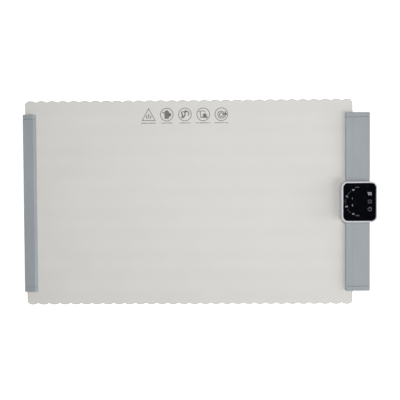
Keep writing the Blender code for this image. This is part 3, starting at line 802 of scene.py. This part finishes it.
def ruleTree():
    # broken rules under the symbols, in place of captions
    tree, given = startTree("brokenRule", high="Float", rise="Float", seed="Int",
                            ink="Material")
    width = addNode(tree, "FunctionNodeRandomValue", [("Seed", given["seed"])],
                    data_type="FLOAT")
    width.inputs[2].default_value, width.inputs[3].default_value = symbols["dashWide"]
    size = vectorOf(tree, X=width.outputs[1], Y=given["high"], Z=given["rise"])
    dash = addNode(tree, "GeometryNodeMeshCube", Size=(1, 1, 1))
    dash.inputs["Vertices X"].default_value = 3
    return endTree(tree, given, dash.outputs[0], given["ink"], ("Scale", size))


def ruleSpots():
    y = symbols["y"] - symbols["ruleDrop"]
    z = matTop + symbols["rise"] / 2 + printLift
    spots = []
    for i, count in enumerate(symbols["ruleLong"]):
        x = symbols["firstX"] + symbols["pitch"] * i
        spots += [(x + symbols["rulePitch"] * (k - (count - 1) / 2), y, z) for k in range(count)]
    return spots


def stretchOf(builder, low, high):
    # the part of a print between two places along the mat, cut where the skin bends
    part = builder.copy()
    for x, clearOuter in ((high, True), (low, False)):
        cut = sliceAt(part, x, clear_outer=clearOuter, clear_inner=not clearOuter)
        rim = [e for e in cut["geom_cut"] if isinstance(e, bmesh.types.BMEdge)]
        if rim:
            bmesh.ops.holes_fill(part, edges=[e for e in rim if len(e.link_faces) == 1])
    if not part.verts:
        return None
    left, right = min(v.co.x for v in part.verts), max(v.co.x for v in part.verts)
    for x in allRows:
        if left < x < right:
            sliceAt(part, x)
    return part


rules = runTree(ruleTree(), "rulesDraft", {"high": symbols["ruleHigh"], "rise": symbols["rise"],
                                           "seed": 3, "ink": looks["faintInk"]}, ruleSpots())
ruleBuilder = bmesh.new()
ruleBuilder.from_mesh(rules.data)
bpy.data.objects.remove(rules)
for label, drawn, look in (("symbols", drawSymbols(), "greyInk"),
                           ("rules", ruleBuilder, "faintInk")):
    for k in range(len(bounds) - 1):
        part = stretchOf(drawn, bounds[k + 1], bounds[k])
        if part:
            followSheet(keep(f"{label}_{k}", part, look, 60), k)
    drawn.free()
print("made the printed symbols")


# ---- rigid pieces, refined from the CAD shapes ----

def cutLine(made):
    # the parting line along the control bar's top
    x, half, lip = partingLine["x"], partingLine["wide"] / 2, partingLine["lip"]
    builder = bmesh.new()
    builder.from_mesh(made.data)
    lowest = max(v.co.z for v in builder.verts) - partingLine["roof"]
    for place in (x - half - lip, x - half, x + half, x + half + lip):
        sliceAt(builder, place)
    for vertex in builder.verts:
        if abs(vertex.co.x - x) < half + lip / 2 and vertex.co.z > lowest:
            vertex.co.z -= partingLine["deep"]
    builder.to_mesh(made.data)
    builder.free()


def refined(nodeName, look, width):
    # the CAD node's own shape with rounded edges, one plain mesh
    source = frame["nodes"][nodeName]
    builder = bmesh.new()
    builder.from_mesh(source.data)
    bmesh.ops.remove_doubles(builder, verts=builder.verts, dist=2e-6)
    bmesh.ops.dissolve_limit(builder, angle_limit=math.radians(0.6), verts=builder.verts,
                             edges=builder.edges)
    name = "".join(w.capitalize() if i else w for i, w in enumerate(nodeName.split("_")))
    made = keep(name, builder, look, 40)
    soften = made.modifiers.new("edges", "BEVEL")
    soften.width = width
    soften.segments = 3
    soften.limit_method = "ANGLE"
    soften.angle_limit = math.radians(30)
    plainCopy(made)
    if nodeName.startswith("control_bar_c"):
        cutLine(made)
    even = made.modifiers.new("evenShading", "WEIGHTED_NORMAL")
    even.keep_sharp = True
    plainCopy(made)
    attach(made, source["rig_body"])
    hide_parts(nodeName)
    return made


edges = {                                          # bevel widths in millimetres
    "clip_bar_cover": 0.5, "clip_bar_cap_front": 0.7, "clip_bar_cap_rear": 0.7,
    "clip_bar_base": 0.3, "control_bar_cover": 0.5, "control_bar_cap_front": 0.7,
    "control_bar_cap_rear": 0.7, "control_bar_base": 0.3, "box_housing": 0.3,
    "box_bezel": 0.35, "touch_glass": 0.12, "inlet_socket": 0.3, "clamp_strip": 0.2,
    "display_board": 0.1, "power_board": 0.1, "heater_relay": 0.15,
    "supply_transformer": 0.15, "thermal_cutout": 0.15, "heat_sensor": 0.3,
    "inlet_pin_1": 0.4, "inlet_pin_2": 0.4,
}
slotOf = {s["node"]: s["material_slot"] for s in frame["record"]["subparts"]}
partingLine = {"x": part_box("control_bar_cover")[0].x + 11 * mm, "wide": 0.18 * mm,
               "deep": 0.3 * mm, "lip": 0.02 * mm, "roof": 0.3 * mm}
for nodeName, width in edges.items():
    refined(nodeName, slotOf[nodeName], width * mm)
# nodes that show as they are take their slot's material too
for nodeName in frame["nodes"]:
    for place in frame["nodes"][nodeName].material_slots:
        place.material = looks[slotOf[nodeName]]
print("refined", len(edges), "rigid pieces")


# ---- screws, springs and board parts ----

screwHead = {"radius": 2.4 * mm, "chamfer": 0.15 * mm, "chamferHigh": 0.12 * mm,
             "coneHigh": 1.3 * mm, "shank": 1.25 * mm, "neck": 0.4 * mm, "length": 8.5 * mm,
             "thread": 0.18 * mm, "pitch": 0.9 * mm, "plainEnd": 1.6 * mm, "taper": 0.8 * mm,
             "cross": 1.5 * mm, "slot": 0.5 * mm, "crossDeep": 0.9 * mm, "sides": 20}


def screwShape():
    # a countersunk cross-head screw, head down, with a rolled thread
    s = screwHead
    profile = [(0.0, 0.0), (s["radius"] - s["chamfer"], 0.0), (s["radius"], s["chamferHigh"]),
               (s["shank"], s["coneHigh"])]
    z = s["coneHigh"] + s["neck"]
    while z < s["length"] - s["plainEnd"]:
        profile += [(s["shank"] - s["thread"], z), (s["shank"], z + s["pitch"] / 2)]
        z += s["pitch"]
    profile += [(s["shank"] * 0.6, s["length"] - s["taper"]), (0.0, s["length"])]
    builder = bmesh.new()
    turns = [2 * math.pi * i / s["sides"] for i in range(s["sides"])]
    rings = [[builder.verts.new((radius * math.cos(t), radius * math.sin(t), height))
              for t in (turns if radius else [0.0])] for radius, height in profile]
    for lower, upper in zip(rings, rings[1:]):
        for i in range(s["sides"]):
            j = (i + 1) % s["sides"]
            ring = [lower[i % len(lower)], lower[j % len(lower)], upper[j % len(upper)],
                    upper[i % len(upper)]]
            builder.faces.new(list(dict.fromkeys(ring)))
    made = keep("screwDraft", outward(builder), "steel", 30)
    for turn in (0, 1):
        cut = made.modifiers.new("cross", "BOOLEAN")
        cut.operation = "DIFFERENCE"
        cut.object = addObject("crossTool", toolMesh(s, turn))
    return made


def toolMesh(s, turn):
    # one arm of the cross, cut into the head
    long, half = s["cross"], s["slot"] / 2
    outline = [(-long, -half), (long, -half), (long, half), (-long, half)]
    if turn:
        outline = [(y, -x) for x, y in outline]
    builder = prism(outline, -0.5 * mm, s["crossDeep"])
    mesh = bpy.data.meshes.new("crossTool")
    builder.to_mesh(mesh)
    builder.free()
    return mesh


def placeTree(name):
    # one shape on every point, each turned its own way about Z
    tree, given = startTree(name, shape="Object", seed="Int", turn="Float", finish="Material")
    shape = addNode(tree, "GeometryNodeObjectInfo", [("Object", given["shape"])])
    angle = addNode(tree, "FunctionNodeRandomValue", [("Seed", given["seed"])], data_type="FLOAT")
    tree.links.new(given["turn"], angle.inputs[3])
    turned = vectorOf(tree, Z=angle.outputs[1])
    return endTree(tree, given, shape.outputs["Geometry"], given["finish"],
                   ("Rotation", turned))


screwDraft = plainCopy(screwShape())
for tool in [o for o in scene.objects if o.name.startswith("crossTool")]:
    bpy.data.objects.remove(tool)
screwTree = placeTree("screwPlaces")
for label, nodes in (("clipBarScrews", [f"clip_bar_screw_{k}" for k in (1, 2, 3)]),
                     ("controlBarScrews", [f"control_bar_screw_{k}" for k in (1, 2, 3, 4)])):
    screws = runTree(screwTree, label, {"shape": screwDraft, "seed": 7, "turn": math.pi,
                                        "finish": looks["steel"]}, [footOf(n) for n in nodes])
    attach(screws, frame["nodes"][nodes[0]]["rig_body"])
    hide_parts(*nodes)
bpy.data.objects.remove(screwDraft)
print("made the screws")

spring = {"radius": 2.6 * mm, "wire": 0.42 * mm, "turns": 4.5, "resolution": 28}


def springTree():
    # an open coil spring on every point
    tree, given = startTree("touchSprings", radius="Float", wire="Float", turns="Float",
                            high="Float", resolution="Int", finish="Material")
    coil = addNode(tree, "GeometryNodeCurveSpiral", [
        ("Resolution", given["resolution"]), ("Rotations", given["turns"]),
        ("Start Radius", given["radius"]), ("End Radius", given["radius"]),
        ("Height", given["high"])])
    wire = addNode(tree, "GeometryNodeCurvePrimitiveCircle", [("Radius", given["wire"])],
                   Resolution=10)
    tube = addNode(tree, "GeometryNodeCurveToMesh", [
        ("Curve", coil.outputs[0]), ("Profile Curve", wire.outputs[0])])
    tube.inputs["Fill Caps"].default_value = True
    return endTree(tree, given, tube.outputs[0], given["finish"])


springNodes = [f"touch_spring_{k}" for k in (1, 2, 3)]
springLow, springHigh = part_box(springNodes[0])
keySpots = [footOf(n, spring["wire"]) for n in springNodes]
springs = runTree(springTree(), "touchSprings", {
    **spring, "high": springHigh.z - springLow.z - 2 * spring["wire"],
    "finish": looks["steel"]}, keySpots)
springs.data.shade_smooth()
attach(springs, "controller")
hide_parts(*springNodes)

chips = {"pitch": 5.2 * mm, "long": 1.9 * mm, "wide": 1.1 * mm, "high": 0.5 * mm, "seed": 11,
         "firstX": 5 * mm, "firstY": 4 * mm, "spareX": 14 * mm, "spareY": 6 * mm,
         "springGap": 4.4 * mm, "reach": 22 * mm, "lift": 0.02 * mm}


def chipTree():
    # small surface parts on a board, on some of the points and turned by quarters
    tree, given = startTree("boardParts", long="Float", wide="Float", high="Float",
                            seed="Int", finish="Material")
    size = vectorOf(tree, X=given["long"], Y=given["wide"], Z=given["high"])
    chip = addNode(tree, "GeometryNodeMeshCube", [("Size", size)])
    some = addNode(tree, "FunctionNodeRandomValue", [("Seed", given["seed"])],
                   data_type="BOOLEAN", Probability=0.55)
    quarter = addNode(tree, "FunctionNodeRandomValue", [("Seed", given["seed"])],
                      data_type="INT")
    quarter.inputs[4].default_value = 0
    quarter.inputs[5].default_value = 1
    turn = addNode(tree, "ShaderNodeMath", [(0, quarter.outputs[2])], operation="MULTIPLY")
    turn.inputs[1].default_value = math.pi / 2
    turned = vectorOf(tree, Z=turn.outputs[0])
    return endTree(tree, given, chip.outputs[0], given["finish"],
                   ("Selection", some.outputs[3]), ("Rotation", turned))


def chipSpots():
    # rows and columns over the display board, clear of the springs
    low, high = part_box("display_board")
    spots = []
    for i in range(int((high.x - low.x - chips["spareX"]) / chips["pitch"])):
        for j in range(int((high.y - low.y - chips["spareY"]) / chips["pitch"])):
            x = low.x + chips["firstX"] + chips["pitch"] * i
            y = low.y + chips["firstY"] + chips["pitch"] * j
            clear = all(math.hypot(x - k[0], y - k[1]) > chips["springGap"] for k in keySpots)
            if clear and abs(x - (low.x + high.x) / 2) < chips["reach"]:
                spots.append((x, y, high.z + chips["high"] / 2 + chips["lift"]))
    return spots


parts = runTree(chipTree(), "boardParts", {**chips, "finish": looks["dark_plastic"]},
                chipSpots())
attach(parts, "controller")
print("made the springs and board parts")


# ---- marks on the touch glass ----

glassLow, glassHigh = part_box("touch_glass")
glassX = (glassLow.x + glassHigh.x) / 2
dial = {"x": glassX - 1 * mm, "radius": 24 * mm, "angles": [116, 156, 200, 244],
        "numbers": ["90", "75", "60", "45"], "size": 4.6 * mm, "rise": 0.05 * mm,
        "tickRadius": 24.5 * mm, "tickLong": 2.4 * mm, "tickWide": 0.55 * mm,
        "innerX": 12 * mm, "innerSpread": 6.2 * mm}
markLow, markHigh = glassHigh.z + printLift, glassHigh.z + dial["rise"]


def tickTree():
    # short strokes pointing at the dial's middle, one on every point
    tree, given = startTree("dialTicks", centreX="Float", long="Float", wide="Float",
                            rise="Float", ink="Material")
    size = vectorOf(tree, X=given["long"], Y=given["wide"], Z=given["rise"])
    stroke = addNode(tree, "GeometryNodeMeshCube", [("Size", size)])
    spot = addNode(tree, "GeometryNodeInputPosition").outputs[0]
    away = addNode(tree, "ShaderNodeVectorMath", [
        (0, spot), (1, vectorOf(tree, X=given["centreX"]))], operation="SUBTRACT")
    flat = addNode(tree, "ShaderNodeVectorMath", [(0, away.outputs[0])], operation="MULTIPLY")
    flat.inputs[1].default_value = (1, 1, 0)
    aim = addNode(tree, "FunctionNodeAlignRotationToVector", [("Vector", flat.outputs[0])],
                  axis="X", pivot_axis="Z")
    return endTree(tree, given, stroke.outputs[0], given["ink"], ("Rotation", aim.outputs[0]))


def tickSpots():
    spots = []
    for first, second in zip(dial["angles"], dial["angles"][1:]):
        for share in (0.34, 0.5, 0.66):
            angle = math.radians(first + (second - first) * share)
            spots.append((dial["x"] + dial["tickRadius"] * math.cos(angle),
                          dial["tickRadius"] * math.sin(angle), (markLow + markHigh) / 2))
    return spots


ticks = runTree(tickTree(), "dialTicks", {
    "centreX": dial["x"], "long": dial["tickLong"], "wide": dial["tickWide"],
    "rise": markHigh - markLow, "ink": looks["dimInk"]}, tickSpots())
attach(ticks, "controller")


def numberMark(name, words, x, y):
    # a plain numeral, made a mesh before it is put in its place
    curve = bpy.data.curves.new(name, "FONT")
    curve.body = words
    curve.size = dial["size"]
    curve.align_x = "CENTER"
    curve.align_y = "CENTER"
    curve.extrude = (markHigh - markLow) / 2
    curve.offset = 0.012 * dial["size"]
    holder = addObject(name, curve)
    mesh = meshOf(holder)
    bpy.data.objects.remove(holder)
    mesh.transform(Matrix.Translation((x, y, (markLow + markHigh) / 2)))
    mesh.materials.clear()
    mesh.materials.append(looks["whiteInk"])
    made = addObject(name, mesh)
    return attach(made, "controller")


for number, (angle, words) in enumerate(zip(dial["angles"], dial["numbers"])):
    turn = math.radians(angle)
    numberMark(f"dialNumber_{number}", words, dial["x"] + dial["radius"] * math.cos(turn),
               dial["radius"] * math.sin(turn))
for number, (words, y) in enumerate((("1", dial["innerSpread"]), ("2", -dial["innerSpread"]))):
    numberMark(f"timerNumber_{number}", words, dial["x"] - dial["innerX"], y)


def heatKey(draw, fill):
    for shift in (-2.4, 0, 2.4):
        draw([(shift + 0.5 * math.sin(k * 1.5), (k - 2) * 1.3) for k in range(5)], 1.3)


def timerKey(draw, fill):
    for quarter in range(4):
        draw(arcPoints(0, 0, 3.3, 90 * quarter + 12, 66, 8), 1.0)
    draw([(0, 1.6), (0, 0), (1.3, -0.6)], 0.7)


def powerKey(draw, fill):
    draw(arcPoints(0, 0, 3.2, 122, 296, 28), 1.1)
    draw([(0, 0.8), (0, 3.9)], 1.0)


def faintDashes(draw, fill):
    for shift in (-2.4, 0, 2.4):
        draw([(shift - 0.8, 0), (shift + 0.8, 0)], 0.9)


keyDrop = -0.9 * mm                                # from each key's spring to its mark
glassMarks = [(drawn, keySpots[k][0], keySpots[k][1] + keyDrop, ink) for drawn, k, ink in
              ((heatKey, 2, "whiteInk"), (timerKey, 1, "dimInk"), (powerKey, 0, "dimInk"))]
glassMarks += [(faintDashes, glassX - 4.5 * mm, 26.5 * mm, "dimInk"),
               (faintDashes, glassX - 4.0 * mm, -24.5 * mm, "dimInk")]
for number, (drawn, x, y, ink) in enumerate(glassMarks):
    builder = bmesh.new()
    drawn(*penAt(builder, x, y, markLow, markHigh))
    outward(builder)
    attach(keep(f"glassMark_{number}", builder, ink, 60), "controller")
print("made the marks on the glass")


# ---- floor, light and camera ----

studio = {"floor": 14.0, "floorDrop": 0.3 * mm, "floorGlow": 0.5, "zenith": 0.0,
          "horizon": 0.95, "lens": 58.65,
          "cameraPlace": (23.6, 38.1, 1200), "cameraTurn": (-1.612, 1.047, -0.342)}
lamps = {"keyLight": ((1.5, -0.8, 1.8), 1.3, 21),           # place, size and power
         "sideLight": ((2.3, -0.2, 0.8), 1.0, 14),
         "topLight": ((0.02, 0.14, 1.4), 0.7, 12.8)}


def areaLight(name, place, size, power):
    # a square lamp that looks at the origin
    lamp = bpy.data.lights.new(name, "AREA")
    lamp.shape = "SQUARE"
    lamp.size = size
    lamp.energy = power
    made = addObject(name, lamp)
    made.location = place
    made.rotation_mode = "QUATERNION"
    made.rotation_quaternion = Vector(place).to_track_quat("Z", "Y")


def studioScene():
    half = studio["floor"] / 2
    floorMesh = bpy.data.meshes.new("floor")
    floorMesh.from_pydata([(-half, -half, 0), (half, -half, 0), (half, half, 0), (-half, half, 0)],
                          [], [(0, 1, 2, 3)])
    floorMesh.transform(Matrix.Translation((0, 0, -studio["floorDrop"])))
    paint, tree, shader = startMaterial("paleFloor", (247, 247, 247), 0.8)
    shader.inputs["Emission Color"].default_value = (1, 1, 1, 1)
    shader.inputs["Emission Strength"].default_value = studio["floorGlow"]
    floorMesh.materials.append(paint)
    floor = addObject("floor", floorMesh)
    for name, values in lamps.items():
        areaLight(name, *values)
    # a room with bright walls and a dark ceiling
    world = bpy.data.worlds.new("studio")
    world.use_nodes = True
    tree = world.node_tree
    background = tree.nodes["Background"]
    way = addNode(tree, "ShaderNodeTexCoord").outputs["Generated"]
    glow = ramp(tree, axisOf(tree, way, "Z"), studio["horizon"], studio["zenith"], 0.1, 0.75)
    background.inputs["Color"].default_value = (1, 1, 1, 1)
    tree.links.new(glow, background.inputs["Strength"])
    scene.world = world
    scene.view_settings.view_transform = "Standard"
    camera = bpy.data.cameras.new("camera")
    camera.lens = studio["lens"]
    camera.clip_start = 0.05
    eye = addObject("camera", camera)
    eye.location = [away * mm for away in studio["cameraPlace"]]
    eye.rotation_euler = [math.radians(angle) for angle in studio["cameraTurn"]]
    scene.camera = eye


studioScene()
bpy.context.view_layer.update()
print("scene ready")
